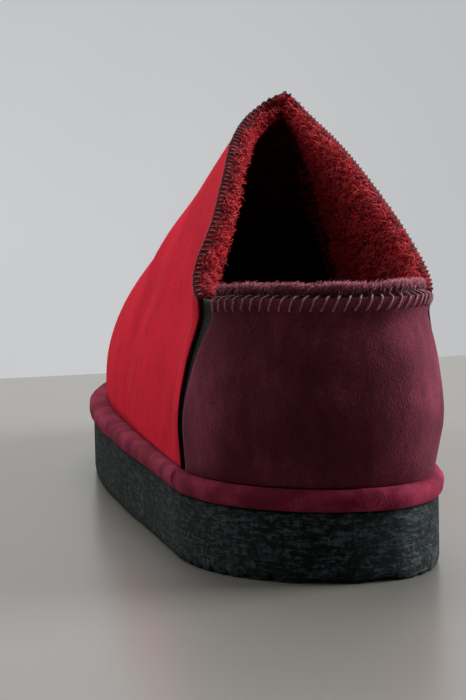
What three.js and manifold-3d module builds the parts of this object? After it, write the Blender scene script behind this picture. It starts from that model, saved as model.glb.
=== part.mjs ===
// A left babouche slipper in suede: a red vamp and a burgundy heel counter joined by a black elastic
// gore on each side, a suede-wrapped midsole, a sheepskin insole and a ribbed rubber outsole.
// Millimetres. +Y runs to the toe, +X to the inner side of the foot, +Z up, the sole on Z = 0.

import * as THREE from "three";
import Module from "manifold-3d";

const wasm = await Module();
wasm.setup();

// Outsole. Each end is rounded over its own length, and a fullness of 2 makes it an ellipse. The toe
// begins to lift at a share of the length.
const SOLE_LENGTH = 268;
const BALL_WIDTH = 94;
const HEEL_ROUND = 40;
const TOE_ROUND = 40;
const HEEL_FULLNESS = 2.1;
const TOE_FULLNESS = 2.4;
const OUTSOLE_THICKNESS = 16.5;
const RIB_PITCH = 4.4;
const RIB_DEPTH = 1.2;
const TOE_SPRING = 3;
const SPRING_START = 0.8;

// Midsole, wrapped in a band of suede that bulges past the outsole
const MIDSOLE_THICKNESS = 7;
const BAND_BULGE = 1.3;

// Upper
const UPPER_WALL = 3;
const COUNTER_HEIGHT = 40.5;
const INSTEP_HEIGHT = 92;
const THROAT_REACH = 106;
const THROAT_RISE = 46;

// Elastic gores, each a narrow wedge sewn behind the edges of vamp and counter
const GORE_WALL = 1.6;
const GORE_RECESS = 0.9;
const GORE_TOP_WIDTH = 5.5;
const GORE_BOTTOM_WIDTH = 3.5;
const GORE_TOP_PLACE = 26;
const GORE_BOTTOM_PLACE = 35;

// Insole
const INSOLE_THICKNESS = 5;

const GAP = 0.3;

const MIDSOLE_BOTTOM = OUTSOLE_THICKNESS + GAP;
const MIDSOLE_TOP = MIDSOLE_BOTTOM + MIDSOLE_THICKNESS;
const UPPER_BOTTOM = MIDSOLE_TOP + GAP;
const COUNTER_TOP = UPPER_BOTTOM + COUNTER_HEIGHT;

// How finely the forms are divided: sections along each, points up a section of the upper, and how
// much closer the sections lie at the ends, where 0 is evenly and 1 is as close as can be.
const BAND_STATIONS = 64;
const INSOLE_STATIONS = 40;
const UPPER_STATIONS = 44;
const PROFILE_STEPS = 14;
const CROWDING = 0.85;

// Lengths for sums only: the step that a slope is measured over, the fineness at which two vertices
// are one, and a reach past the whole shoe for the blocks that cut it.
const SLOPE_STEP = 0.05;
const VERTEX_FINENESS = 1e-4;
const FAR = 2 * SOLE_LENGTH;

// The sole outline, from heel to toe. "at" is a share of the length; the middle line and the half
// width, before the ends are rounded off, are shares of half the ball width.
const OUTLINE = [
  { at: 0.0, middle: 0.19, half: 0.664 },
  { at: 0.05, middle: 0.11, half: 0.664 },
  { at: 0.1, middle: 0.057, half: 0.664 },
  { at: 0.2, middle: -0.006, half: 0.685 },
  { at: 0.3, middle: -0.07, half: 0.705 },
  { at: 0.4, middle: -0.132, half: 0.734 },
  { at: 0.45, middle: -0.132, half: 0.766 },
  { at: 0.5, middle: -0.11, half: 0.828 },
  { at: 0.6, middle: -0.03, half: 0.951 },
  { at: 0.7, middle: 0.013, half: 0.989 },
  { at: 0.8, middle: 0.057, half: 0.949 },
  { at: 0.9, middle: 0.117, half: 0.838 },
  { at: 0.95, middle: 0.153, half: 0.787 },
  { at: 1.0, middle: 0.153, half: 0.777 },
];

// The upper over the last, one row for each section from heel to toe. "inset" is how far the
// feather line lies inside the sole's edge, as a share of the wall. "ridge" is where the section
// meets the top line, as a share of the length, "crown" how far to the inner side, as a share of
// half the ball width, and "height" how high, as a share of the instep height. "outer" and "inner"
// say how square the section is on each side: 1 is a straight slope and 5 nearly a box. "belly" says
// how much of the swell below the side takes on.
const LAST = [
  { at: 0.0, inset: 0.33, ridge: 0.16, crown: 0.08, height: 1.16, outer: 5.0, inner: 5.0, belly: 1.3 },
  { at: 0.05, inset: 0.33, ridge: 0.18, crown: 0.08, height: 1.15, outer: 3.9, inner: 4.8, belly: 1.3 },
  { at: 0.1, inset: 0.33, ridge: 0.2, crown: 0.09, height: 1.13, outer: 2.4, inner: 4.0, belly: 0.9 },
  { at: 0.15, inset: 0.4, ridge: 0.23, crown: 0.09, height: 1.11, outer: 1.58, inner: 2.7, belly: 0.6 },
  { at: 0.2, inset: 0.5, ridge: 0.27, crown: 0.1, height: 1.08, outer: 1.4, inner: 2.0, belly: 0.4 },
  { at: 0.3, inset: 0.7, ridge: 0.34, crown: 0.11, height: 1.02, outer: 1.42, inner: 1.65, belly: 0.3 },
  { at: 0.4, inset: 1.0, ridge: 0.42, crown: 0.1, height: 0.91, outer: 1.55, inner: 1.65, belly: 0.2 },
  { at: 0.5, inset: 1.2, ridge: 0.5, crown: 0.08, height: 0.78, outer: 1.7, inner: 1.75, belly: 0.2 },
  { at: 0.6, inset: 1.3, ridge: 0.58, crown: 0.07, height: 0.66, outer: 1.8, inner: 1.85, belly: 0.2 },
  { at: 0.7, inset: 1.3, ridge: 0.66, crown: 0.06, height: 0.56, outer: 1.95, inner: 2.0, belly: 0.2 },
  { at: 0.8, inset: 1.3, ridge: 0.73, crown: 0.07, height: 0.48, outer: 2.0, inner: 2.1, belly: 0.3 },
  { at: 0.9, inset: 1.2, ridge: 0.8, crown: 0.09, height: 0.42, outer: 2.1, inner: 2.2, belly: 0.4 },
  { at: 1.0, inset: 1.1, ridge: 0.86, crown: 0.12, height: 0.38, outer: 2.2, inner: 2.2, belly: 0.4 },
];

// How the side swells past the feather line on its way up, "at" as a share of the counter's height
// and "out" as a share of the wall.
const SWELL = [
  { at: 0.0, out: 0.0 },
  { at: 0.28, out: 0.75 },
  { at: 0.6, out: 0.45 },
  { at: 0.88, out: -0.2 },
  { at: 1.0, out: 0.05 },
  { at: 1.4, out: 0.0 },
];

// One rib of the tread, as shares of its pitch and its depth.
const RIB = [
  { along: 0.1, depth: 1 },
  { along: 0.3, depth: 0 },
  { along: 0.7, depth: 0 },
  { along: 0.9, depth: 1 },
];

// The rolled side of the midsole from its lower to its upper edge, as shares of the band's bulge and
// of the thickness.
const BAND_PROFILE = [
  { out: -0.6, up: 0 },
  { out: 0.35, up: 0.08 },
  { out: 0.85, up: 0.25 },
  { out: 1, up: 0.5 },
  { out: 0.8, up: 0.76 },
  { out: 0.25, up: 0.94 },
  { out: -0.8, up: 1 },
];

// The rounded edge of the insole, as shares of its thickness.
const INSOLE_PROFILE = [
  { in: 0, up: 0 },
  { in: 0.05, up: 0.5 },
  { in: 0.16, up: 0.85 },
  { in: 0.4, up: 1 },
];

// The edge of the opening seen from the side, from the back of the heel to the throat, as shares of
// the sole length and of the counter's height.
const TOP_LINE = [
  { along: 0.0, up: 1.03 },
  { along: 0.05, up: 1.02 },
  { along: 0.08, up: 0.99 },
];

// The vamp's edge from the gore up to the throat, as shares of the throat's reach and of its rise
// over the counter.
const VAMP_EDGE = [
  { along: 0.27, up: 0.0 },
  { along: 0.36, up: 0.15 },
  { along: 0.5, up: 0.37 },
  { along: 0.66, up: 0.59 },
  { along: 0.8, up: 0.75 },
  { along: 0.92, up: 0.87 },
  { along: 0.98, up: 0.98 },
  { along: 1.0, up: 1.15 },
  { along: 1.01, up: 1.6 },
];

// Reads one column of a table at a share of the length, along a smooth curve through its rows.
function read(table, column, at) {
  let row = 0;
  while (row < table.length - 2 && at > table[row + 1].at) {
    row += 1;
  }
  const slope = (r) => {
    const low = table[Math.max(r - 1, 0)];
    const high = table[Math.min(r + 1, table.length - 1)];
    return (high[column] - low[column]) / (high.at - low.at);
  };
  const a = table[row];
  const b = table[row + 1];
  const span = b.at - a.at;
  const t = (at - a.at) / span;
  const t2 = t * t;
  const t3 = t2 * t;
  return (
    (2 * t3 - 3 * t2 + 1) * a[column] +
    (t3 - 2 * t2 + t) * span * slope(row) +
    (3 * t2 - 2 * t3) * b[column] +
    (t3 - t2) * span * slope(row + 1)
  );
}

// How much of the half width is left where an end is rounded off.
function endRounding(y) {
  const rounded = (away, fullness) => {
    const share = Math.max(0, 1 - away);
    return Math.pow(1 - Math.pow(share, fullness), 1 / fullness);
  };
  const heel = rounded(y / HEEL_ROUND, HEEL_FULLNESS);
  const toe = rounded((SOLE_LENGTH - y) / TOE_ROUND, TOE_FULLNESS);
  return heel * toe;
}

function edgeX(y, side) {
  const at = y / SOLE_LENGTH;
  const middle = read(OUTLINE, "middle", at);
  const half = read(OUTLINE, "half", at) * endRounding(y);
  return (BALL_WIDTH / 2) * (middle + side * half);
}

// A point of the outline, moved in by an inset along the outline's normal.
function edgePoint(y, side, inset) {
  const x = edgeX(y, side);
  const end = y <= 0 ? -1 : y >= SOLE_LENGTH ? 1 : 0;
  if (end !== 0) {
    return new THREE.Vector2(x, y - end * inset);
  }
  const step = Math.min(SLOPE_STEP, y / 2, (SOLE_LENGTH - y) / 2);
  const slope = (edgeX(y + step, side) - edgeX(y - step, side)) / (2 * step);
  const normal = new THREE.Vector2(side, -side * slope).normalize();
  return new THREE.Vector2(x - normal.x * inset, y - normal.y * inset);
}

// Places along the length for the sections of a form, closer together at the rounded ends.
function stations(count) {
  const list = [];
  for (let i = 0; i <= count; i += 1) {
    const t = i / count;
    list.push(SOLE_LENGTH * (t - (CROWDING * Math.sin(2 * Math.PI * t)) / (2 * Math.PI)));
  }
  return list;
}

// How far the toe end lifts off the floor.
function toeLift(y) {
  const start = SPRING_START * SOLE_LENGTH;
  const share = Math.max(0, (y - start) / (SOLE_LENGTH - start));
  return TOE_SPRING * share * share;
}

// Collects triangles over shared vertices.
class Facets {
  constructor() {
    this.points = [];
    this.faces = [];
    this.known = new Map();
  }

  vertex(p) {
    const key = [p.x, p.y, p.z].map((n) => Math.round(n / VERTEX_FINENESS)).join();
    if (!this.known.has(key)) {
      this.known.set(key, this.points.length / 3);
      this.points.push(p.x, p.y, p.z);
    }
    return this.known.get(key);
  }

  triangle(p, q, r) {
    const [a, b, c] = [p, q, r].map((v) => this.vertex(v));
    if (a !== b && b !== c && c !== a) {
      this.faces.push(a, b, c);
    }
  }

  quad(p, q, r, s) {
    this.triangle(p, q, r);
    this.triangle(p, r, s);
  }

  solid() {
    return new wasm.Manifold(
      new wasm.Mesh({
        numProp: 3,
        vertProperties: new Float32Array(this.points),
        triVerts: new Uint32Array(this.faces),
      })
    );
  }
}

// Columns of points along the outer and the inner side of the foot. Both sides share the first and
// the last column.
function columns(places, column) {
  return [-1, 1].map((side) => places.map((y) => column(y, side)));
}

// A closed form from such columns, with a floor under them and, where they stay apart, a lid.
function closedForm([outer, inner]) {
  const facets = new Facets();
  const top = outer[0].length - 1;
  for (let i = 0; i < outer.length - 1; i += 1) {
    for (let k = 0; k < top; k += 1) {
      facets.quad(outer[i][k], outer[i][k + 1], outer[i + 1][k + 1], outer[i + 1][k]);
      facets.quad(inner[i][k], inner[i + 1][k], inner[i + 1][k + 1], inner[i][k + 1]);
    }
    facets.quad(outer[i][0], outer[i + 1][0], inner[i + 1][0], inner[i][0]);
    facets.quad(outer[i][top], inner[i][top], inner[i + 1][top], outer[i + 1][top]);
  }
  return facets.solid();
}

function outsole() {
  const places = [0];
  const ribs = Math.floor(SOLE_LENGTH / RIB_PITCH);
  const margin = (SOLE_LENGTH - ribs * RIB_PITCH) / 2;
  const depths = new Map([[0, 0]]);
  for (let i = 0; i < ribs; i += 1) {
    for (const row of RIB) {
      const y = margin + (i + row.along) * RIB_PITCH;
      places.push(y);
      depths.set(y, row.depth * RIB_DEPTH);
    }
  }
  places.push(SOLE_LENGTH);
  depths.set(SOLE_LENGTH, 0);
  const wall = (y, side) => {
    const edge = edgePoint(y, side, 0);
    const lift = toeLift(y);
    return [
      new THREE.Vector3(edge.x, edge.y, lift + depths.get(y)),
      new THREE.Vector3(edge.x, edge.y, lift + OUTSOLE_THICKNESS),
    ];
  };
  return closedForm(columns(places, wall));
}

function midsole() {
  const rolled = (y, side) =>
    BAND_PROFILE.map(({ out, up }) => {
      const p = edgePoint(y, side, -out * BAND_BULGE);
      return new THREE.Vector3(p.x, p.y, toeLift(y) + MIDSOLE_BOTTOM + up * MIDSOLE_THICKNESS);
    });
  return closedForm(columns(stations(BAND_STATIONS), rolled));
}

// The insole fills the floor of the upper, inside its wall.
function insole() {
  const pad = (y, side) =>
    INSOLE_PROFILE.map((row) => {
      const wall = UPPER_WALL * (1 + read(LAST, "inset", y / SOLE_LENGTH)) + GAP;
      const p = edgePoint(y, side, wall + row.in * INSOLE_THICKNESS);
      return new THREE.Vector3(p.x, p.y, toeLift(y) + UPPER_BOTTOM + row.up * INSOLE_THICKNESS);
    });
  return closedForm(columns(stations(INSOLE_STATIONS), pad));
}

// A point of the upper's outside, "up" running from 0 at the feather line to 1 at the top line.
function lastPoint(y, side, up) {
  const at = y / SOLE_LENGTH;
  const ridgeY = SOLE_LENGTH * read(LAST, "ridge", at);
  const ridgeX = (BALL_WIDTH / 2) * read(LAST, "crown", at);
  const power = 2 / read(LAST, side < 0 ? "outer" : "inner", at);
  const angle = (Math.PI / 2) * up;
  const out = Math.pow(Math.max(0, Math.cos(angle)), power);
  const rise = INSTEP_HEIGHT * read(LAST, "height", at) * Math.pow(Math.sin(angle), power);
  const swellEnd = SWELL[SWELL.length - 1].at;
  const swell = read(LAST, "belly", at) * read(SWELL, "out", Math.min(swellEnd, rise / COUNTER_HEIGHT));
  const foot = edgePoint(y, side, UPPER_WALL * (read(LAST, "inset", at) - swell));
  return new THREE.Vector3(
    THREE.MathUtils.lerp(ridgeX, foot.x, out),
    THREE.MathUtils.lerp(ridgeY, foot.y, out),
    toeLift(y) + UPPER_BOTTOM + rise
  );
}

function lastColumns() {
  return columns(stations(UPPER_STATIONS), (y, side) => {
    const column = [];
    for (let k = 0; k <= PROFILE_STEPS; k += 1) {
      column.push(lastPoint(y, side, k / PROFILE_STEPS));
    }
    return column;
  });
}

// The skin of the last moved in by a depth. Past the ridge or an end, the next point is on the
// other side of the foot. The floor row goes down past the upper's lower edge.
function movedIn(sides, depth) {
  const last = sides[0].length - 1;
  const top = sides[0][0].length - 1;
  const point = (side, i, k) => {
    const over = i < 0 || i > last || k > top;
    const row = i < 0 ? -i : i > last ? 2 * last - i : i;
    return sides[over ? 1 - side : side][row][k > top ? 2 * top - k : Math.max(0, k)];
  };
  const moved = (side, i, k) => {
    const along = point(side, i + 1, k).clone().sub(point(side, i - 1, k));
    const up = point(side, i, k + 1).clone().sub(point(side, i, k - 1));
    const inward = along.cross(up).multiplyScalar(side === 0 ? 1 : -1);
    if (inward.length() < VERTEX_FINENESS) {
      inward.set(0, 0, -1);
    }
    if (k === 0) {
      inward.setZ(0);
    }
    const p = point(side, i, k).clone().addScaledVector(inward.normalize(), depth);
    return k === 0 ? p.setZ(p.z - depth) : p;
  };
  const outer = sides[0].map((column, i) => column.map((p, k) => moved(0, i, k)));
  const inner = sides[1].map((column, i) =>
    column.map((p, k) => (i === 0 || i === last || k === top ? outer[i][k] : moved(1, i, k)))
  );
  return [outer, inner];
}

// A block over an outline drawn in Y and Z, from the shoe's outer side to its inner side or to
// another place in X.
function across(outline, until = BALL_WIDTH) {
  const shape = new THREE.Shape(outline.map(([y, z]) => new THREE.Vector2(y, z)));
  const block = new THREE.ExtrudeGeometry(shape, { depth: until + BALL_WIDTH, bevelEnabled: false });
  block.translate(0, 0, -BALL_WIDTH);
  const turn = new THREE.Matrix4().makeBasis(
    new THREE.Vector3(0, 1, 0),
    new THREE.Vector3(0, 0, 1),
    new THREE.Vector3(1, 0, 0)
  );
  block.applyMatrix4(turn);
  const corners = block.getAttribute("position");
  const facets = new Facets();
  const corner = (i) => new THREE.Vector3().fromBufferAttribute(corners, i);
  for (let i = 0; i < corners.count; i += 3) {
    facets.triangle(corner(i), corner(i + 1), corner(i + 2));
  }
  return facets.solid();
}

// All that the opening takes away above the counter and the vamp's edge.
function opening() {
  const heel = TOP_LINE.map((row) => [row.along * SOLE_LENGTH, UPPER_BOTTOM + row.up * COUNTER_HEIGHT]);
  const vamp = VAMP_EDGE.map((row) => [row.along * THROAT_REACH, COUNTER_TOP + row.up * THROAT_RISE]);
  const front = vamp[vamp.length - 1][0];
  return across([[-FAR, heel[0][1]], ...heel, ...vamp, [front, FAR], [-FAR, FAR]]);
}

// The wedge between counter and vamp seen from the side, made wider or narrower by a margin.
function goreWedge(margin) {
  const slope = (GORE_BOTTOM_PLACE - GORE_TOP_PLACE) / COUNTER_HEIGHT;
  const widen = (GORE_TOP_WIDTH - GORE_BOTTOM_WIDTH) / COUNTER_HEIGHT;
  const edge = (z, end) => {
    const down = COUNTER_TOP - z;
    const half = (GORE_TOP_WIDTH - widen * down) / 2 + margin;
    return [GORE_TOP_PLACE + slope * down + end * half, z];
  };
  return { back: [edge(0, -1), edge(FAR, -1)], front: [edge(0, 1), edge(FAR, 1)] };
}

// The upper is a shell over the last. The opening and two cuts turn it into vamp and counter, and a
// thinner shell behind them gives the gores in the wedge between the cuts.
function upperPieces() {
  const skin = lastColumns();
  const shell = closedForm(skin).subtract(closedForm(movedIn(skin, UPPER_WALL))).subtract(opening());
  const seam = goreWedge(GAP);
  const behind = across([[-FAR, 0], ...seam.back, [-FAR, FAR]]);
  const ahead = across([[FAR, 0], [FAR, FAR], seam.front[1], seam.front[0]]);
  const gore = goreWedge(0);
  const wedge = across([gore.back[0], gore.front[0], gore.front[1], gore.back[1]]);
  const under = across([[-FAR, 0], [FAR, 0], [FAR, UPPER_BOTTOM], [-FAR, UPPER_BOTTOM]]);
  const elastic = closedForm(movedIn(skin, GORE_RECESS))
    .subtract(closedForm(movedIn(skin, GORE_RECESS + GORE_WALL)))
    .intersect(wedge)
    .subtract(opening())
    .subtract(under);
  const outerHalf = across([[-FAR, -FAR], [FAR, -FAR], [FAR, FAR], [-FAR, FAR]], 0);
  return {
    vamp: shell.intersect(ahead),
    counter: shell.intersect(behind),
    goreOuter: elastic.intersect(outerHalf),
    goreInner: elastic.subtract(outerHalf),
  };
}

const RUBBER = { color: 0x14191c, roughness: 0.85, metalness: 0 };
const BAND_SUEDE = { color: 0x6e2c3e, roughness: 0.9, metalness: 0 };
const WOOL = { color: 0x4a1c28, roughness: 0.95, metalness: 0 };
const VAMP_SUEDE = { color: 0xa81a2c, roughness: 0.9, metalness: 0 };
const COUNTER_SUEDE = { color: 0x52202c, roughness: 0.9, metalness: 0 };
const ELASTIC = { color: 0x101214, roughness: 0.9, metalness: 0 };

function mesh(name, solid, finish) {
  const { vertProperties, triVerts } = solid.getMesh();
  const geometry = new THREE.BufferGeometry();
  geometry.setAttribute("position", new THREE.BufferAttribute(vertProperties, 3));
  geometry.setIndex(new THREE.BufferAttribute(triVerts, 1));
  geometry.computeVertexNormals();
  const piece = new THREE.Mesh(geometry, new THREE.MeshStandardMaterial(finish));
  piece.name = name;
  return piece;
}

const upper = upperPieces();
const group = new THREE.Group();
group.add(mesh("outsole", outsole(), RUBBER));
group.add(mesh("midsole", midsole(), BAND_SUEDE));
group.add(mesh("insole", insole(), WOOL));
group.add(mesh("vamp", upper.vamp, VAMP_SUEDE));
group.add(mesh("heel_counter", upper.counter, COUNTER_SUEDE));
group.add(mesh("gore_lateral", upper.goreOuter, ELASTIC));
group.add(mesh("gore_medial", upper.goreInner, ELASTIC));

// The origin is in the middle of the shoe's box, on the floor.
const box = new THREE.Box3().setFromObject(group);
const middle = box.getCenter(new THREE.Vector3());
group.position.set(-middle.x, -middle.y, -box.min.z);

export default group;
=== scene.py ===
# %% [markdown]
# # A babouche slipper in suede and sheepskin
# The packed model of the shoe is loaded first and stays as it is. Each soft piece is then modelled
# again from the same sizes, finer than the solid that it stands for, and gets its finish.

# %% Load the frame
import math

import bmesh
import bpy
import numpy as np
from mathutils import Matrix, Vector


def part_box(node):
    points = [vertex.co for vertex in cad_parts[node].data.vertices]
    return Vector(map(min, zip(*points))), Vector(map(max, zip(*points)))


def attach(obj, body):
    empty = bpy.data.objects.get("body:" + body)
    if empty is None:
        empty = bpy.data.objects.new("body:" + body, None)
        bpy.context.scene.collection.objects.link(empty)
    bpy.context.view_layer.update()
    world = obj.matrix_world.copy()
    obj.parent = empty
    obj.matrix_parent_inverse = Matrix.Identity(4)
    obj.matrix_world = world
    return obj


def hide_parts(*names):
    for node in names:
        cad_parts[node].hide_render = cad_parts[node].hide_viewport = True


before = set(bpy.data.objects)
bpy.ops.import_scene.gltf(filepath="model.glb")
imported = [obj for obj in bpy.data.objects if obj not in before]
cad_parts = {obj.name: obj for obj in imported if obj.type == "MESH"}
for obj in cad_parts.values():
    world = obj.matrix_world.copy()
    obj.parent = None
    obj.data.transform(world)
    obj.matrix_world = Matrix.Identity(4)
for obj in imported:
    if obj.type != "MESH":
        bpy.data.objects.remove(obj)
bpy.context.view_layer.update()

print("pieces in the frame:", sorted(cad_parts))

# %% [markdown]
# ## The sizes of the shoe
# A shoemaker works from a sole pattern and a last, and starts from a few lengths. They are the solid
# model's own, so every piece made below lines up with it. Only the gore's top lies 3 mm further back,
# as it does on the real shoe. All sizes are in millimetres until a mesh is made.

# %% Named sizes
MM = 0.001
SOLE_LENGTH = 268.0
BALL_WIDTH = 94.0
HEEL_ROUND = 40.0
TOE_ROUND = 40.0
HEEL_POWER = 2.1
TOE_POWER = 2.4
OUTSOLE_THICKNESS = 16.5
RIB_PITCH = 4.4
RIB_DEPTH = 1.2
TOE_SPRING = 3.0
SPRING_START = 0.8
MIDSOLE_THICKNESS = 7.0
BAND_BULGE = 1.3
UPPER_WALL = 3.0
COUNTER_HEIGHT = 40.5
INSTEP_HEIGHT = 92.0
THROAT_REACH = 106.0
THROAT_RISE = 46.0
GORE_WALL = 1.6
GORE_RECESS = 0.9
GORE_TOP_WIDTH = 5.5
GORE_BOTTOM_WIDTH = 3.5
GORE_TOP_PLACE = 23.0
GORE_BOTTOM_PLACE = 35.0
INSOLE_THICKNESS = 5.0
GAP = 0.3
MIDSOLE_BOTTOM = OUTSOLE_THICKNESS + GAP
MIDSOLE_TOP = MIDSOLE_BOTTOM + MIDSOLE_THICKNESS
UPPER_BOTTOM = MIDSOLE_TOP + GAP
COUNTER_TOP = UPPER_BOTTOM + COUNTER_HEIGHT
OUTER, INNER = -1.0, 1.0
print("the counter's edge is", round(COUNTER_TOP, 1), "mm above the floor")

# %% [markdown]
# The sole pattern and the last are short tables. Each row is a section, and its numbers are shares of
# the sizes above: where the middle of the sole lies, how square the upper is on each side, and how far
# it swells. A change of one length then carries all that hangs on it.

# %% Tables of sections
def table(columns, *rows):
    """A table of sections as one array for each named column."""
    return dict(zip(columns.split(), np.array(rows, float).T))


OUTLINE = table(
    "at middle half",
    (0.0, 0.19, 0.664),
    (0.05, 0.11, 0.664),
    (0.1, 0.057, 0.664),
    (0.2, -0.006, 0.685),
    (0.3, -0.07, 0.705),
    (0.4, -0.132, 0.734),
    (0.45, -0.132, 0.766),
    (0.5, -0.11, 0.828),
    (0.6, -0.03, 0.951),
    (0.7, 0.013, 0.989),
    (0.8, 0.057, 0.949),
    (0.9, 0.117, 0.838),
    (0.95, 0.153, 0.787),
    (1.0, 0.153, 0.777),
)
LAST = table(
    "at inset ridge crown height outer inner belly",
    (0.0, 0.33, 0.16, 0.08, 1.16, 5.0, 5.0, 1.3),
    (0.05, 0.33, 0.18, 0.08, 1.15, 3.9, 4.8, 1.3),
    (0.1, 0.33, 0.2, 0.09, 1.13, 2.4, 4.0, 0.9),
    (0.15, 0.4, 0.23, 0.09, 1.11, 1.58, 2.7, 0.6),
    (0.2, 0.5, 0.27, 0.1, 1.08, 1.4, 2.0, 0.4),
    (0.3, 0.7, 0.34, 0.11, 1.02, 1.42, 1.65, 0.3),
    (0.4, 1.0, 0.42, 0.1, 0.91, 1.55, 1.65, 0.2),
    (0.5, 1.2, 0.5, 0.08, 0.78, 1.7, 1.75, 0.2),
    (0.6, 1.3, 0.58, 0.07, 0.66, 1.8, 1.85, 0.2),
    (0.7, 1.3, 0.66, 0.06, 0.56, 1.95, 2.0, 0.2),
    (0.8, 1.3, 0.73, 0.07, 0.48, 2.0, 2.1, 0.3),
    (0.9, 1.2, 0.8, 0.09, 0.42, 2.1, 2.2, 0.4),
    (1.0, 1.1, 0.86, 0.12, 0.38, 2.2, 2.2, 0.4),
)
SWELL = table("at out", (0.0, 0.0), (0.28, 0.75), (0.6, 0.45), (0.88, -0.2), (1.0, 0.05), (1.4, 0.0))
TOP_LINE = table("at up", (0.0, 1.03), (0.05, 1.02), (0.08, 0.99))
VAMP_EDGE = table(
    "at up",
    (0.24, 0.0),
    (0.36, 0.15),
    (0.5, 0.37),
    (0.66, 0.59),
    (0.8, 0.75),
    (0.92, 0.87),
    (0.98, 0.98),
    (1.0, 1.15),
    (1.01, 1.6),
)
print("sole sections:", len(OUTLINE["at"]), "last sections:", len(LAST["at"]))

# %% [markdown]
# ## Reading the tables
# A smooth curve runs through the rows of a column, with the slope at each row taken from its
# neighbours. The outline and the last are then two functions that any piece can ask for a point. A
# drawn curve object would do as well, but a function is exact at every station and easy to share.

# %% The outline of the sole
SLOPE_STEP = 0.05
TINY = 1e-6


def read(rows, column, at):
    """A column's value at any place, on a smooth curve through its rows."""
    places, values = rows["at"], rows[column]
    low = np.maximum(np.arange(len(places)) - 1, 0)
    high = np.minimum(np.arange(len(places)) + 1, len(places) - 1)
    slopes = (values[high] - values[low]) / (places[high] - places[low])
    at = np.asarray(at, float)
    row = np.clip(np.searchsorted(places, at, side="left") - 1, 0, len(places) - 2)
    span = places[row + 1] - places[row]
    t = (at - places[row]) / span
    start = (2 * t**3 - 3 * t**2 + 1) * values[row] + (t**3 - 2 * t**2 + t) * span * slopes[row]
    end = (3 * t**2 - 2 * t**3) * values[row + 1] + (t**3 - t**2) * span * slopes[row + 1]
    return start + end


def end_rounding(y):
    """1 along the sole, falling to 0 at the round heel end and toe end."""
    heel = np.clip(1 - y / HEEL_ROUND, 0, 1)
    toe = np.clip(1 - (SOLE_LENGTH - y) / TOE_ROUND, 0, 1)
    return (1 - heel**HEEL_POWER) ** (1 / HEEL_POWER) * (1 - toe**TOE_POWER) ** (1 / TOE_POWER)


def edge_x(y, side):
    """How far out the sole's edge lies at y."""
    at = y / SOLE_LENGTH
    half = read(OUTLINE, "half", at) * end_rounding(y)
    return BALL_WIDTH / 2 * (read(OUTLINE, "middle", at) + side * half)


def edge_point(y, side, inset):
    """The sole's edge at y, moved in by an inset: its x and y."""
    y, side, inset = np.broadcast_arrays(np.asarray(y, float), side, inset)
    step = np.maximum(np.minimum(SLOPE_STEP, np.minimum(y, SOLE_LENGTH - y) / 2), TINY)
    slope = (edge_x(y + step, side) - edge_x(y - step, side)) / (2 * step)
    size = np.hypot(1, slope)
    at_heel, at_toe = y <= TINY, y >= SOLE_LENGTH - TINY
    normal_x = np.where(at_heel | at_toe, 0, side / size)
    normal_y = np.where(at_heel, -1, np.where(at_toe, 1, -side * slope / size))
    return edge_x(y, side) - normal_x * inset, y - normal_y * inset


def toe_lift(y):
    """How far the toe springs up from the floor."""
    start = SPRING_START * SOLE_LENGTH
    return TOE_SPRING * np.clip((y - start) / (SOLE_LENGTH - start), 0, None) ** 2


sole_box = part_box("outsole")
SHIFT_Y = sole_box[0][1] / MM
outline_y = np.linspace(0, SOLE_LENGTH, 600)
SHIFT_X = sole_box[0][0] / MM - edge_x(outline_y, OUTER).min()
print("the heel end lies at", round(SHIFT_Y, 2), "and the outline is moved by", round(SHIFT_X, 2), "mm")

# %% [markdown]
# The upper is pulled over a last, so its outside is the skin of the last. It could be sculpted, but
# a formula keeps it on the solid. A column of that skin starts at the sole's edge and bends over to
# the ridge along the top of the foot, and how square it bends is read from the table.

# %% The skin of the last
def last_point(y, side, up):
    """A point of the upper's outside; up runs from 0 at the feather line to 1 at the ridge."""
    y, side, up = np.broadcast_arrays(np.asarray(y, float), side, up)
    at = y / SOLE_LENGTH
    round_side = np.where(side < 0, read(LAST, "outer", at), read(LAST, "inner", at))
    angle = np.pi / 2 * up
    out = np.clip(np.cos(angle), 0, 1) ** (2 / round_side)
    rise = INSTEP_HEIGHT * read(LAST, "height", at) * np.sin(angle) ** (2 / round_side)
    swell = read(LAST, "belly", at) * read(SWELL, "out", np.minimum(1.4, rise / COUNTER_HEIGHT))
    foot_x, foot_y = edge_point(y, side, UPPER_WALL * (read(LAST, "inset", at) - swell))
    ridge_x = BALL_WIDTH / 2 * read(LAST, "crown", at)
    ridge_y = SOLE_LENGTH * read(LAST, "ridge", at)
    x = ridge_x + (foot_x - ridge_x) * out
    return np.stack([x, ridge_y + (foot_y - ridge_y) * out, toe_lift(y) + UPPER_BOTTOM + rise], -1)


print("ridge at the throat:", np.round(last_point(100.0, OUTER, 1.0), 1))

# %% [markdown]
# The opening is a line seen from the side: level along the heel panel, then rising to the throat. It
# cuts each column where the column first comes over it. Cutting a mesh with another one would leave
# ragged faces, so the height of the cut is searched for instead, by halving.

# %% The edge of the opening
COLUMN_STEPS = 90
HALVINGS, THROAT_HALVINGS = 16, 24
THROAT_SEARCH = 1.02


def opening_height(y):
    """How high the edge of the opening stands at y, and past its front nothing is cut."""
    at = np.clip(y / SOLE_LENGTH, 0, TOP_LINE["at"][-1])
    heel = UPPER_BOTTOM + COUNTER_HEIGHT * read(TOP_LINE, "up", at)
    first, last = VAMP_EDGE["at"][0], VAMP_EDGE["at"][-1]
    along = y / THROAT_REACH
    vamp = COUNTER_TOP + THROAT_RISE * read(VAMP_EDGE, "up", np.clip(along, first, last))
    return np.where(along < first, heel, np.where(along > last, np.inf, vamp))


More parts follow.
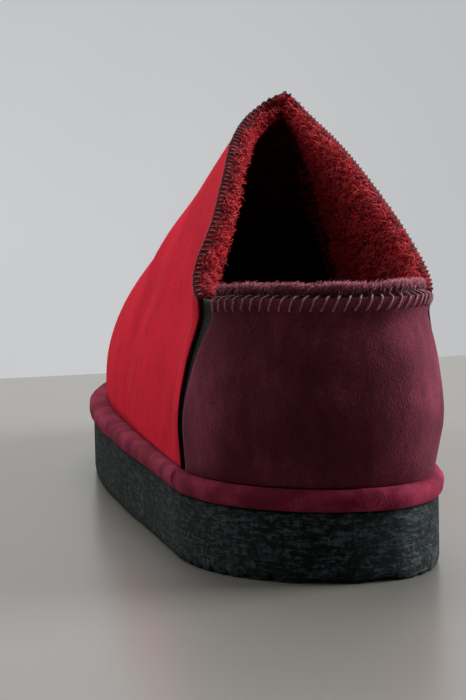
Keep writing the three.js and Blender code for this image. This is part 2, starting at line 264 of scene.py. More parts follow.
def column_top(y, side):
    """How far up a column of the last reaches before the opening cuts it."""
    y, side = np.broadcast_arrays(np.asarray(y, float), side)
    ways = np.linspace(0, 1, COLUMN_STEPS)
    p = last_point(y[..., None], side[..., None], ways)
    above = p[..., 2] > opening_height(p[..., 1])
    high = np.where(above.any(-1), ways[above.argmax(-1)], 1.0)
    low = np.maximum(high - ways[1], 0)
    for _ in range(HALVINGS):
        middle = (low + high) / 2
        p = last_point(y, side, middle)
        cut = p[..., 2] > opening_height(p[..., 1])
        low, high = np.where(cut, low, middle), np.where(cut, middle, high)
    return np.where(above.any(-1), high, 1.0)


def throat_station(side):
    """The first station whose column reaches the ridge without being cut."""
    low, high = GORE_BOTTOM_PLACE, THROAT_SEARCH * THROAT_REACH
    for _ in range(THROAT_HALVINGS):
        middle = (low + high) / 2
        low, high = (middle, high) if column_top(middle, side) < 1 else (low, middle)
    return high


print("the throat is cut back to", round(float(throat_station(OUTER)), 1), "mm from the heel")

# %% [markdown]
# The gore is a leaning wedge between the two panels, wider at the top. Its two edges are lines seen
# from the side, and both panels and the gore itself ask here for the stations that meet them.

# %% The edges of the gore
GORE_SEARCH_STEPS, GORE_SEARCH_PACE = 30, 0.7
GORE_NEAREST, GORE_FARTHEST = 4, 60


def gore_edge(z, end):
    """Where the gore's back (-1) or front (+1) edge stands at a height, seen from the side."""
    down = COUNTER_TOP - z
    half = (GORE_TOP_WIDTH - (GORE_TOP_WIDTH - GORE_BOTTOM_WIDTH) * down / COUNTER_HEIGHT) / 2
    place = GORE_TOP_PLACE + (GORE_BOTTOM_PLACE - GORE_TOP_PLACE) * down / COUNTER_HEIGHT
    return place + end * half


def station_at_gore(side, share, end, margin):
    """The stations whose columns meet the gore's edge, one for each share of the way up."""
    y = np.full(share.shape, GORE_BOTTOM_PLACE)
    for _ in range(GORE_SEARCH_STEPS):
        p = last_point(y, side, share * column_top(y, side))
        short = gore_edge(p[..., 2], end) + end * margin - p[..., 1]
        y = np.clip(y + GORE_SEARCH_PACE * short, GORE_NEAREST, GORE_FARTHEST)
    return y


print("the gore's top runs from", gore_edge(COUNTER_TOP, -1), "to", gore_edge(COUNTER_TOP, 1), "mm")

# %% [markdown]
# ## From grids to meshes
# Every skin is a grid of points, and a grid turns into quads. Neighbouring grids are welded where
# they meet, which is simpler and cleaner than cutting one shape out of another.

# %% From points to a mesh
WELD, PANEL_WELD = 1e-6, 2e-6


def to_frame(points):
    """Shoe millimetres, counted from the heel end, to metres in the frame."""
    return (np.asarray(points, float) + [SHIFT_X, SHIFT_Y, 0]) * MM


def grid_faces(rows, cols, start=0, closed=False):
    """The quads of a grid; closed joins the last row to the first."""
    i = np.arange(rows if closed else rows - 1)
    j = np.arange(cols - 1)
    a = (i[:, None] * cols + j).ravel()
    b = (((i + 1) % rows)[:, None] * cols + j).ravel()
    return np.stack([a, b, b + 1, a + 1], 1) + start


def make_piece(name, vertices, faces, finishes, weld=0.0, smooth=True):
    """A named object from points and faces; weld joins points nearer than that, in metres."""
    mesh = bpy.data.meshes.new(name)
    mesh.from_pydata([tuple(v) for v in vertices], [], [tuple(f) for f in faces])
    if weld > 0:
        work = bmesh.new()
        work.from_mesh(mesh)
        bmesh.ops.remove_doubles(work, verts=work.verts, dist=weld)
        bmesh.ops.recalc_face_normals(work, faces=work.faces)
        work.to_mesh(mesh)
        work.free()
    mesh.validate()
    for polygon in mesh.polygons:
        polygon.use_smooth = smooth
    piece = bpy.data.objects.new(name, mesh)
    bpy.context.collection.objects.link(piece)
    for finish in finishes:
        mesh.materials.append(finish)
    return piece


def settle(piece):
    """Works the piece's modifiers into its mesh."""
    shape = piece.evaluated_get(bpy.context.evaluated_depsgraph_get())
    mesh = bpy.data.meshes.new_from_object(shape)
    piece.modifiers.clear()
    piece.data = mesh


print("a grid of 3 by 3 points has", len(grid_faces(3, 3)), "quads")

# %% [markdown]
# A finished piece rides on the shoe's one body and takes the place of the solid that it was
# modelled from. Wool and stitches have no solid and are only added.

# %% Placing a piece
root = "root"


def count(piece):
    piece.data.calc_loop_triangles()
    print(piece.name, "has", len(piece.data.loop_triangles), "triangles")


def place(piece, slot, *nodes):
    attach(piece, root)
    if nodes:
        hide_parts(*nodes)
    count(piece)


print("every piece rides on", root)

# %% [markdown]
# ## Writing shaders as sums
# A material's masks are sums and products of noises. Wiring them by hand is slow and hard to read. A
# small class wraps a socket instead, so that an expression such as 1 - mask adds its own Math nodes.

# %% A number in a material
class Value:
    """A number on its way through a material."""

    def __init__(self, finish, socket):
        self.finish = finish
        self.socket = socket

    def _math(self, operation, first, second):
        return self.finish.node("ShaderNodeMath", {"operation": operation}, {0: first, 1: second})

    def __add__(self, other):
        return self._math("ADD", self, other)

    def __radd__(self, other):
        return self._math("ADD", other, self)

    def __sub__(self, other):
        return self._math("SUBTRACT", self, other)

    def __rsub__(self, other):
        return self._math("SUBTRACT", other, self)

    def __mul__(self, other):
        return self._math("MULTIPLY", self, other)

    def __rmul__(self, other):
        return self._math("MULTIPLY", other, self)


print("operators that also work reversed:", sum(n.startswith("__r") for n in vars(Value)))

# %% [markdown]
# A finish is one material. All its nodes but the sums come from one method, and short names stand for
# the few kinds that the shoe's finishes share: noise, a soft ramp, a mix of colours, a bump. At the end
# one Principled shader takes what varies as links and what is the same all over as plain values.

# %% A finish and its nodes
class Finish:
    """One material and the nodes that it is made of."""

    def __init__(self, name):
        self.material = bpy.data.materials.new(name)
        self.material.use_nodes = True
        self.tree = self.material.node_tree
        self.tree.nodes.clear()
        self.object_space = self.node("ShaderNodeTexCoord", {}, {}, "Object")

    def node(self, kind, settings, inputs, out=0):
        """Adds a node: its settings first, then values or links for its sockets."""
        made = self.tree.nodes.new(kind)
        for key, value in settings.items():
            setattr(made, key, value)
        for key, value in inputs.items():
            if isinstance(value, Value):
                self.tree.links.new(value.socket, made.inputs[key])
            else:
                made.inputs[key].default_value = value
        return Value(self, made.outputs[out])

    def noise(self, size_mm, detail=3.0, stretch=(1, 1, 1), rough=0.55):
        """Noise with features of about that size, longer along an axis whose stretch is over 1."""
        scale = tuple(1 / (s * size_mm * MM) for s in stretch)
        spot = self.node("ShaderNodeMapping", {}, {"Vector": self.object_space, "Scale": scale})
        inputs = {"Vector": spot, "Scale": 1.0, "Detail": detail, "Roughness": rough}
        return self.node("ShaderNodeTexNoise", {}, inputs, "Fac")

    def ramp(self, value, low, high):
        """0 under low, 1 over high, and smooth between."""
        inputs = {"Value": value, "From Min": low, "From Max": high}
        return self.node("ShaderNodeMapRange", {"interpolation_type": "SMOOTHSTEP"}, inputs)

    def mix(self, share, first, second):
        colours = [c if isinstance(c, Value) else (*c, 1) for c in (first, second)]
        inputs = {0: share, 6: colours[0], 7: colours[1]}
        return self.node("ShaderNodeMix", {"data_type": "RGBA"}, inputs, 2)

    def attribute(self, name):
        return self.node("ShaderNodeAttribute", {"attribute_name": name}, {}, "Fac")

    def bump(self, height, distance_mm, strength=1.0, below=None):
        inputs = {"Height": height, "Distance": distance_mm * MM, "Strength": strength}
        if below is not None:
            inputs["Normal"] = below
        return self.node("ShaderNodeBump", {}, inputs)

    def surface(self, colour, roughness, normal, **uniform):
        """Ends the material in one shader; uniform gives sockets that are the same all over."""
        inputs = {"Base Color": colour, "Roughness": roughness}
        if normal is not None:
            inputs["Normal"] = normal
        for key, value in uniform.items():
            inputs[key.replace("_", " ")] = value
        shader = self.node("ShaderNodeBsdfPrincipled", {}, inputs)
        output = self.tree.nodes.new("ShaderNodeOutputMaterial")
        self.tree.links.new(shader.socket, output.inputs["Surface"])
        return self.material


print("parts of a finish:", [n for n in vars(Finish) if not n.startswith("_")])

# %% [markdown]
# Colours are easier to judge as they look on a screen, but a shader works in linear light, where a
# middle grey is only about a fifth of white. One function turns the one into the other.

# %% Colours
def shade(red, green, blue):
    """A colour as seen on a screen, 0 to 255, in the linear values that shaders use."""
    def linear(c):
        c = c / 255
        return c / 12.92 if c <= 0.04045 else ((c + 0.055) / 1.055) ** 2.4
    return (linear(red), linear(green), linear(blue))


print("a middle grey of 128 is", round(shade(128, 128, 128)[0], 3), "in a shader")

# %% [markdown]
# ## Suede
# Suede is the fuzzy flesh side of a hide. Its nap lies in different directions, so it shows soft
# patches and short brush marks, and it brightens at grazing angles. A photo of suede could be laid
# on, but three noises of different size need no image and never repeat. They mix a deep and a lit
# colour, the finest also gives the fibres' relief, and sheen lifts the edges.

# %% The suede of vamp, counter and band
def suede(name, deep, middle, lit, patch_mm, patchy, sheen, rim_lightening=0.0, binding_and_shade=None):
    f = Finish(name)
    patches = f.ramp(f.noise(patch_mm, 2.0), 0.32, 0.68)
    brushed = f.noise(3.2, 3.0, (1, 1, 2.4))
    fibres = f.noise(0.35, 2.0, (1, 1, 2.2), 0.7)
    tone = patches * patchy + brushed * 0.4 + fibres * 0.6
    body = f.mix(f.ramp(tone, 0.34, 0.62 + patchy / 2), deep, middle)
    colour = f.mix(f.ramp(tone, 0.56, 0.92 + patchy / 2) * 0.6, body, lit)
    # Lighter near the counter's rim, mixed towards the lightest tone.
    if rim_lightening > 0:
        lighter_near_rim = f.ramp(f.attribute("rim"), 3.4, 0.4) * rim_lightening
        colour = f.mix(lighter_near_rim, colour, lit)
    # A near-black band along the vamp's edge: partly its binding, partly painted shade of the opening.
    if binding_and_shade is not None:
        colour = f.mix(f.ramp(f.attribute("rim") + brushed * 1.2, 2.3, 1.3) * 0.75, colour, binding_and_shade)
    nap = f.bump(fibres, 0.35, 0.8)
    hide = f.bump(brushed, 0.5, 0.3, nap)
    return f.surface(colour, 0.88 + fibres * 0.1, hide, Sheen_Weight=sheen, Sheen_Roughness=0.45,
                     Sheen_Tint=(*lit, 1), Specular_IOR_Level=0.1)


reds = shade(172, 6, 34), shade(210, 11, 45), shade(224, 30, 50)
wines = shade(60, 20, 31), shade(88, 32, 47), shade(146, 68, 87)
band_wines = shade(86, 17, 36), shade(118, 27, 51), shade(160, 66, 88)
VAMP_SUEDE = suede("vamp_suede", *reds, patch_mm=26.0, patchy=0.12, sheen=0.06, binding_and_shade=shade(30, 8, 14))
COUNTER_SUEDE = suede("counter_suede", *wines, patch_mm=26.0, patchy=0.25, sheen=0.75, rim_lightening=0.3)
BAND_SUEDE = suede("band_suede", *band_wines, patch_mm=8.0, patchy=0.3, sheen=0.3)
print("suede:", VAMP_SUEDE.name, COUNTER_SUEDE.name, BAND_SUEDE.name)

# %% [markdown]
# ## Sheepskin
# The pile is made of real locks further down, so its finish only needs darker roots and lighter
# tips, from a number stored on each lock; the dark roots are painted shade deep in the pile. Under
# the locks lies the hide's inner side, and a curly noise with some relief is enough for what shows of
# it between them.

# %% Wool and hide
def pile(name, roots, tips):
    f = Finish(name)
    along = f.attribute("along")
    lock = f.noise(5.0, 2.0)
    # The roots are darkened as painted shade deep in the pile, and the tips are left lighter.
    colour = f.mix(f.ramp(along + lock * 0.6 - 0.3, 0.0, 0.9), roots, tips)
    return f.surface(colour, 0.9 - along * 0.1, None, Sheen_Weight=0.15, Sheen_Roughness=0.5,
                     Specular_IOR_Level=0.15)


def hide_side(name, deep, lit):
    f = Finish(name)
    curls = f.noise(2.2, 4.0, rough=0.7)
    colour = f.mix(f.ramp(curls, 0.3, 0.75), deep, lit)
    return f.surface(colour, 0.95 - curls * 0.05, f.bump(curls, 1.5, 0.9), Specular_IOR_Level=0.1)


RED_PILE = pile("vamp_pile", shade(104, 4, 16), shade(200, 18, 34))
WINE_PILE = pile("counter_pile", shade(60, 18, 28), shade(150, 70, 88))
BED_PILE = pile("insole_pile", shade(52, 14, 24), shade(122, 48, 62))
RED_HIDE = hide_side("vamp_hide", shade(74, 3, 12), shade(158, 14, 28))
WINE_HIDE = hide_side("counter_hide", shade(40, 14, 20), shade(104, 48, 60))
# The vamp's cut edge at the gore: near black, partly its binding and partly painted shade.
BINDING_AND_SHADE_EDGE = hide_side("binding_and_shade_edge", shade(8, 5, 7), shade(40, 16, 22))
print("wool:", RED_PILE.name, WINE_PILE.name, BED_PILE.name)

# %% [markdown]
# ## Elastic and thread
# The gore's elastic is woven with fine upright ribs, and a noise stretched across them draws both
# their colour and their relief. Thread is a twist of fibres, so a small noise breaks up its shine.

# %% Elastic and thread
def elastic(name):
    f = Finish(name)
    ribs = f.noise(0.55, 1.0, (14, 14, 1))
    colour = f.mix(f.ramp(ribs, 0.35, 0.7), shade(6, 6, 8), shade(22, 21, 24))
    return f.surface(colour, 0.75 + ribs * 0.15, f.bump(ribs, 0.4, 0.8), Specular_IOR_Level=0.25)


def thread(name, deep, lit):
    f = Finish(name)
    twist = f.noise(0.4, 2.0)
    colour = f.mix(f.ramp(twist, 0.35, 0.7), deep, lit)
    return f.surface(colour, 0.65 + twist * 0.2, f.bump(twist, 0.2, 0.8), Sheen_Weight=0.3)


GORE_ELASTIC = elastic("gore_elastic")
BLACK_THREAD = thread("black_thread", shade(16, 6, 9), shade(64, 16, 24))
WINE_THREAD = thread("wine_thread", shade(84, 36, 48), shade(158, 92, 106))
print("finishes so far:", len(bpy.data.materials))

# %% [markdown]
# ## Sanded rubber
# The sole is cut from a sheet of black rubber, and its sides are sanded, which leaves grey crumbs and
# short level scratches. One noise makes the crumbs, another is stretched level for the scratches, and
# together they decide where the grey lies and how the side is pitted.

# %% Rubber
def sanded_rubber(name):
    f = Finish(name)
    crumbs = f.noise(1.3, 5.0, rough=0.75)
    strokes = f.noise(0.9, 5.0, (5, 5, 1), 0.75)
    patches = f.noise(14.0, 2.0)
    grit = f.noise(0.35, 2.0, rough=0.8)
    scuffed = f.ramp(crumbs * 0.45 + strokes * 0.5 + patches * 0.12, 0.5, 0.64)
    colour = f.mix(scuffed * 0.85, shade(12, 17, 19), shade(90, 103, 106))
    colour = f.mix(f.ramp(grit, 0.5, 0.75) * 0.35, colour, shade(34, 41, 44))
    rough = f.bump(crumbs + strokes * 1.2, 1.8, 0.9)
    return f.surface(colour, 0.7 + scuffed * 0.25, f.bump(grit, 0.4, 0.7, rough), Specular_IOR_Level=0.12)


SOLE_RUBBER = sanded_rubber("sole_rubber")
print("the last finish:", SOLE_RUBBER.name)

# %% [markdown]
# ## The upper's panels
# Worn sheepskin has a few soft folds, where the foot bends and where the heel is pushed down. A cloth
# simulation would find its own folds, but not these. So each one is given as a rounded trough
# or ridge with a centre, a reach and a depth.

# %% Creases listed one by one
def crease(points, centre, reach, depth):
    """How far a soft trough (depth over 0) or ridge (under 0) moves each point, in millimetres."""
    away = (points - np.asarray(centre, float)) / np.asarray(reach, float)
    return -depth * np.exp(-(away**2).sum(-1))


VAMP_CREASES = (
    ((-40, 62, 38), (9, 16, 9), 0.9),
    ((-34, 52, 30), (8, 7, 14), 0.7),
    ((-38, 92, 44), (8, 14, 12), -0.6),
    ((-36, 118, 62), (10, 9, 16), 0.7),
    ((-30, 138, 74), (12, 7, 14), -0.5),
    ((0, 150, 90), (40, 6, 14), 0.6),
    ((0, 166, 84), (44, 6, 14), 0.8),
    ((2, 182, 78), (44, 7, 14), 0.5),
    ((34, 150, 46), (12, 9, 18), 0.8),
    ((30, 120, 50), (10, 12, 16), 0.7),
    ((26, 84, 44), (8, 14, 12), -0.5),
    ((12, 120, 96), (12, 14, 10), 0.5),
    ((-12, 100, 102), (15, 34, 16), -0.7),
)
COUNTER_CREASES = (
    ((8, 0, 61), (60, 40, 3.4), 0.55),
    ((8, 0, 66), (60, 40, 2.6), -0.5),
    ((-14, 10, 44), (3.0, 6, 18), 0.35),
    ((-2, 2, 40), (4.0, 5, 20), -0.35),
    ((10, 2, 38), (3.2, 5, 16), 0.3),
    ((22, 6, 42), (3.0, 6, 16), -0.3),
    ((27, 12, 52), (4.0, 6, 8), 0.6),
    ((-20, 18, 34), (5.0, 8, 8), -0.4),
    ((4, 0, 27), (26, 5, 3), 0.4),
)


print("creases:", len(VAMP_CREASES), "on the vamp and", len(COUNTER_CREASES), "on the counter")

# %% [markdown]
# The upper's lower edge is pulled down over the band and hangs over it a little. A skin is lowered
# there, less and less upwards. The creases move a skin towards a line through the shoe's middle or
# away from it, and fade out at the lower edge, where the suede is held fast.

# %% Lower edge and folds of a skin
FEATHER_DROP = 1.7
FEATHER_HANG = 10.0


def hang(shoe):
    """Lets the lower edge of the upper hang over the band, as it does when it is pulled down."""
    above = shoe[..., 2] - UPPER_BOTTOM - toe_lift(shoe[..., 1])
    low = 1 - np.clip(above / FEATHER_HANG, 0, 1)
    lowered = shoe.copy()
    lowered[..., 2] -= FEATHER_DROP * low**2
    return lowered


MIDDLE_X, MIDDLE_Z = 4.0, 45.0


def press(shoe, creases):
    """Moves a skin in and out by its creases, towards and away from the middle of the shoe."""
    middle = shoe.copy()
    middle[..., 0] = MIDDLE_X
    middle[..., 1] = np.clip(shoe[..., 1], HEEL_ROUND, SOLE_LENGTH - TOE_ROUND)
    middle[..., 2] = MIDDLE_Z
    away = shoe - middle
    away /= np.linalg.norm(away, axis=-1, keepdims=True)
    moved = sum(crease(shoe, *row) for row in creases)
    moved *= np.clip((shoe[..., 2] - UPPER_BOTTOM) / UPPER_WALL, 0, 1)
    return shoe + away * moved[..., None]


print("the upper hangs", FEATHER_DROP, "mm over the band")

# %% [markdown]
# Vamp and counter are cut from the same skin, on either side of the gore. Along the foot a grid starts
# at the gore and ends at the toe or goes round the heel, and upwards it ends at the opening, so both
# have clean edges without any cutting. Stations crowd together towards the throat and the edge, where
# the line bends most.

# %% Grids of the vamp and the counter
OPEN_ROWS = 90
EDGE_CROWDING, THROAT_CROWDING = 1.35, 1.8
BEFORE_THROAT = 0.02


def way_up(steps):
    """Shares of the way up a column, closer together near the edge of the opening."""
    return 1 - (1 - np.linspace(0, 1, steps)) ** EDGE_CROWDING


def vamp_grid(side, ahead=100, up=44):
    share = way_up(up)
    start = station_at_gore(side, share, 1, GAP)
    throat = max(throat_station(OUTER), throat_station(INNER))
    nearing = 1 - (1 - np.linspace(0, 1, OPEN_ROWS)) ** THROAT_CROWDING
    past = np.sin(np.pi / 2 * np.linspace(0, 1, ahead))
    beside = start + (throat - BEFORE_THROAT - start) * nearing[:, None]
    before = throat + (SOLE_LENGTH - throat) * past[:, None] + 0 * start
    y = np.vstack([beside, before])
    return press(last_point(y, side, share * column_top(y, side)), VAMP_CREASES)


def counter_grid(side, along=56, up=34):
    share = way_up(up)
    end = station_at_gore(side, share, -1, GAP)
    y = end * (np.linspace(0, 1, along) ** 2)[:, None]
    return press(last_point(y, side, share * column_top(y, side)), COUNTER_CREASES)


VAMP_GRIDS = [vamp_grid(OUTER), vamp_grid(INNER)]
COUNTER_GRIDS = [counter_grid(OUTER), counter_grid(INNER)]
print("vamp grid:", VAMP_GRIDS[0].shape[:2], "counter grid:", COUNTER_GRIDS[0].shape[:2])

# %% [markdown]
# A panel is its two grids welded along the ridge or the heel's middle line, and Solidify gives it the
# wall of suede and fleece. Inside and edge get finishes of their own. A rim number is kept on each
# point. The suede uses it to make the counter lighter near its edge, and to paint a dark band along
# the vamp's edge that is partly binding and partly painted shade.

# %% Vamp and counter
FAR_DOWN = 99


def panel(name, grids, finishes):
    vertices, faces, start = [], [], 0
    for grid in grids:
        rows, cols = grid.shape[:2]
        vertices.append(to_frame(hang(grid)).reshape(-1, 3))
        faces.append(grid_faces(rows, cols, start))
        start += rows * cols
    piece = make_piece(name, np.vstack(vertices), np.vstack(faces), finishes, PANEL_WELD)
    outward = sum(v.normal.x * v.co.x for v in piece.data.vertices)
    if outward < 0:
        piece.data.flip_normals()
    store_rim(piece)
    thick = piece.modifiers.new("wall", "SOLIDIFY")
    thick.thickness = UPPER_WALL * MM
    thick.offset = -1
    thick.material_offset = 1
    thick.material_offset_rim = 2
    settle(piece)
    # Rim faces above the counter's edge take the inner finish. Lower ones keep the edge finish, which on
    # the vamp is near black, partly binding and partly painted shade.
    for face in piece.data.polygons:
        if face.material_index == 2 and face.center.z > COUNTER_TOP * MM:
            face.material_index = 1
    return piece


def store_rim(piece):
    """Keeps on each vertex how many millimetres it lies under the opening's edge."""
    places = np.empty(len(piece.data.vertices) * 3)
    piece.data.vertices.foreach_get("co", places)
    shoe = places.reshape(-1, 3) / MM - [SHIFT_X, SHIFT_Y, 0]
    down = np.minimum(opening_height(shoe[:, 1]) - shoe[:, 2], FAR_DOWN)
    piece.data.attributes.new("rim", "FLOAT", "POINT").data.foreach_set("value", down)


vamp = panel("vamp_panel", VAMP_GRIDS, [VAMP_SUEDE, RED_HIDE, BINDING_AND_SHADE_EDGE])
place(vamp, "vamp_suede", "vamp")
counter = panel("counter_panel", COUNTER_GRIDS, [COUNTER_SUEDE, WINE_HIDE, WINE_HIDE])
place(counter, "counter_suede", "heel_counter")

# %% [markdown]
# ## The gores
# A gore is set behind the skin, and wool grows from the skin's inner side, so both need the way out
# of the shoe at each point. It is square to the grid's two directions, and its sign follows the side.

# %% Which way is out
def way_out(grid, side):
    """The way out of the shoe at each point of a skin's grid."""
    normal = np.cross(np.gradient(grid, axis=0), np.gradient(grid, axis=1))
    normal /= np.maximum(np.linalg.norm(normal, axis=-1, keepdims=True), 1e-9)
    return normal * np.sign(normal[..., 0].mean() * side)


heel_way = way_out(COUNTER_GRIDS[0], OUTER)[0, 10]
print("way out at the heel:", np.round(heel_way, 2))

# %% [markdown]
# A wedge of black elastic joins counter and vamp on each side and lets the heel panel give. It is
# set a little behind the suede, with its own edges tucked under the panels' cut edges, and a slight
# slack in the middle keeps it from looking like a plate.

# %% Elastic gores
GORE_TUCK, GORE_SLACK = 0.15, 0.35


def gore(name, side, node, up=44, across=9):
    share = np.linspace(0, 1, up)
    back = station_at_gore(side, share, -1, -GORE_TUCK)
    front = station_at_gore(side, share, 1, -GORE_TUCK)
    way = np.linspace(0, 1, across)[:, None]
    y = back + (front - back) * way
    skin = last_point(y, side, share * column_top(y, side))
    slack = GORE_SLACK * np.sin(np.pi * way) * np.sin(np.pi * share)
    outside = skin - way_out(skin, side) * (GORE_RECESS + GORE_WALL / 2 + slack)[..., None]
    web = to_frame(hang(outside)).reshape(-1, 3)
    piece = make_piece(name, web, grid_faces(across, up), [GORE_ELASTIC], WELD)
    thick = piece.modifiers.new("web", "SOLIDIFY")
    thick.thickness = GORE_WALL * MM
    thick.offset = 0
    settle(piece)
    place(piece, "gore_elastic", node)


gore("gore_outer", OUTER, "gore_lateral")
gore("gore_inner", INNER, "gore_medial")

# %% [markdown]
# ## The sole's two layers
# Band and outsole both go round the whole sole. Their stations run along the outer side and back along
# the inner one, closer together at the round ends, and the last column joins the first. The floor and
# the lid are strips from side to side, so a layer is closed without any cap.

# %% Going round the sole
END_CROWDING = 0.93


def ring_stations(number):
    """Stations closer together at the rounded ends."""
    t = np.linspace(0, 1, number)
    return SOLE_LENGTH * (t - END_CROWDING * np.sin(2 * np.pi * t) / (2 * np.pi))


def round_the_sole(outer_row, inner_row):
    """Rows along the outer side and back along the inner side, as one closed ring of columns."""
    return np.concatenate([outer_row, inner_row[-2:0:-1]], 0)


def ring_faces(rows, cols):
    """A closed ring of columns, with a floor and a lid from its outer to its inner side."""
    faces = [tuple(f) for f in grid_faces(rows, cols, closed=True)]
    for k in (0, cols - 1):
        for i in range(rows // 2):
            back, next_back = (rows - i) % rows, rows - i - 1
            faces.append((i * cols + k, (i + 1) * cols + k, next_back * cols + k, back * cols + k))
    faces = [tuple(dict.fromkeys(f)) for f in faces]
    return [f for f in faces if len(f) > 2]


print("first stations at the heel:", np.round(ring_stations(600)[:4], 3))

# %% [markdown]
# The foam midsole is wrapped in a strip of suede. The strip is rolled, so its side is round, with
# small puckers where it is pulled round the heel and the toe, and its two ends meet in a butt joint
# on the outer side below the gore. A bevelled curve would be rounder still, but couldn't pucker.

# %% Band round the midsole
BAND_JOINT_AT, BAND_JOINT_DEPTH, BAND_JOINT_WIDTH = 37.0, 1.3, 0.6
BAND_UNDER, BAND_LIP, BAND_OVER = 2.6, 1.0, 4.8
BAND_ROUNDNESS = 0.75
PUCKER_DEPTH, PUCKER_WAVE, PUCKER_BEAT = 0.1, 2.9, 7.3
RIPPLE_DEPTH, RIPPLE_WAVE = 0.07, 1.35
SWAY_HEIGHT, SWAY_WAVE = 0.12, 11.0


def band(name, number=600, steps=16):
    y = ring_stations(number)
    turn = np.linspace(0, np.pi, steps)
    up = (1 - np.cos(turn)) / 2
    bulge = np.sin(turn) ** BAND_ROUNDNESS
    reach = np.concatenate([[-BAND_UNDER], (BAND_BULGE + BAND_LIP) * bulge - BAND_LIP, [-BAND_OVER]])
    height = np.concatenate([[0.0], up, [1.0]]) * (MIDSOLE_THICKNESS - FEATHER_DROP)
    sides = []
    for side in (OUTER, INNER):
        pucker = PUCKER_DEPTH * np.sin(y / PUCKER_WAVE + side) * np.sin(y / PUCKER_BEAT + 1.7)
        ripple = RIPPLE_DEPTH * np.sin(y / RIPPLE_WAVE)
        joint = BAND_JOINT_DEPTH * np.exp(-((y - BAND_JOINT_AT) / BAND_JOINT_WIDTH) ** 2) * (side < 0)
        lift = SWAY_HEIGHT * np.sin(y / SWAY_WAVE + 2 * side)
        out = reach + (pucker + ripple - joint)[:, None] * np.concatenate([[0], bulge, [0]])
        x, along = edge_point(y[:, None], side, -out)
        raised = height + lift[:, None] * np.concatenate([[0], up, [0]])
        z = toe_lift(y)[:, None] + MIDSOLE_BOTTOM + raised
        sides.append(np.stack([x, along, z], -1))
    ring = round_the_sole(*sides)
    faces = ring_faces(*ring.shape[:2])
    return make_piece(name, to_frame(ring).reshape(-1, 3), faces, [BAND_SUEDE], WELD)


place(band("midsole_band"), "band_suede", "midsole")

# %% [markdown]
# ## The ribbed outsole
# The rubber sole is cut from a sheet with rounded ribs that run across it and out through its
# sides. Sixty cutters could carve them, but it is simpler when the stations follow the ribs. Each has
# the same column: rib or valley at the foot, a slightly worn bottom edge, then the sanded side.

# %% Rubber sole
SOLE_SIDE = table(
    "inset up rough",
    (3.0, 0.0, 0.0),
    (0.9, 0.0, 0.0),
    (0.25, 0.05, 1.0),
    (0.0, 0.14, 1.0),
    (0.0, 0.35, 0.8),
    (0.0, 0.6, 0.6),
    (0.0, 0.85, 0.7),
    (0.05, 1.0, 0.4),
    (3.0, 1.0, 0.0),
)
CUT_DEPTH, CUT_WAVE, CUT_BEAT = 0.1, 1.9, 0.73
RIB_ROUNDNESS, RIB_CREST = 0.55, 1.12
VALLEY_REACH = 9


def outsole(name, per_rib=10):
    ribs = int(SOLE_LENGTH // RIB_PITCH)
    margin = (SOLE_LENGTH - ribs * RIB_PITCH) / 2
    y = np.concatenate([[0], margin + np.arange(ribs * per_rib + 1) / per_rib * RIB_PITCH, [SOLE_LENGTH]])
    wave = np.abs(np.sin(np.pi * (y - margin) / RIB_PITCH)) ** RIB_ROUNDNESS
    valley = RIB_DEPTH * (1 - np.clip(wave * RIB_CREST, 0, 1))
    bottom = valley[:, None] * np.clip(1 - SOLE_SIDE["up"] * VALLEY_REACH, 0, 1)
    sides = []
    for side in (OUTER, INNER):
        cut = CUT_DEPTH * np.abs(np.sin(y * CUT_WAVE + side) * np.sin(y * CUT_BEAT))
        x, along = edge_point(y[:, None], side, SOLE_SIDE["inset"] + cut[:, None] * SOLE_SIDE["rough"])
        z = toe_lift(y)[:, None] + bottom + OUTSOLE_THICKNESS * SOLE_SIDE["up"]
        sides.append(np.stack([x, along, z], -1))
    ring = round_the_sole(*sides)
    faces = ring_faces(*ring.shape[:2])
    return make_piece(name, to_frame(ring).reshape(-1, 3), faces, [SOLE_RUBBER], WELD)


place(outsole("rubber_outsole"), "sole_rubber", "outsole")

# %% [markdown]
# ## The insole
# A sheepskin footbed lies on the floor of the upper. Its top is rounded off at the edges and dips
# under the heel and the ball, where a foot has pressed the pile. It is a grid from side to side with
# a flat one under it, and the dips are made in the same way as the creases.

# %% Sheepskin footbed
BED_DIPS = (((0, 36), (20, 26), 0.9), ((2, 185), (30, 34), 0.8))
BED_EDGE, BED_SQUARENESS = 0.55, 10


def footbed(name, number=220, across=36):
    y = ring_stations(number)
    wall = UPPER_WALL * (1 + read(LAST, "inset", y / SOLE_LENGTH)) + 2 * GAP
    left = np.stack(edge_point(y, OUTER, wall), -1)
    right = np.stack(edge_point(y, INNER, wall), -1)
    way = np.linspace(0, 1, across)
    flat = left[:, None] + (right - left)[:, None] * way[:, None]
    dome = (1 - np.abs(2 * way - 1) ** BED_SQUARENESS) ** 0.5
    top = UPPER_BOTTOM + INSOLE_THICKNESS * (BED_EDGE + (1 - BED_EDGE) * dome)
    dip = sum(crease(flat, *row) for row in BED_DIPS)
    z = toe_lift(y)[:, None] + top + dip * dome
    upper = np.concatenate([flat, z[..., None]], -1)
    lower = np.concatenate([flat, (toe_lift(y)[:, None] + UPPER_BOTTOM + 0 * z)[..., None]], -1)
    vertices = np.vstack([to_frame(upper).reshape(-1, 3), to_frame(lower).reshape(-1, 3)])
    size = number * across
    faces = [tuple(f) for f in grid_faces(number, across)]
    faces += [tuple(f[::-1]) for f in grid_faces(number, across, size)]
    for k in (0, across - 1):
        for i in range(number - 1):
            a, b = i * across + k, (i + 1) * across + k
            faces.append((a, b, b + size, a + size))
    for i in (0, number - 1):
        for k in range(across - 1):
            a, b = i * across + k, i * across + k + 1
            faces.append((a, b, b + size, a + size))
    piece = make_piece(name, vertices, faces, [WINE_HIDE], WELD)
    return piece, upper


bed, BED_GRID = footbed("insole_bed")
place(bed, "lining_wool", "insole")

# %% [markdown]
# ## The wool pile
# Sheepskin pile is thousands of short curved locks that grow from the inner side of each panel. The
# places where they stand are drawn at random between two rows and two columns of a grid.

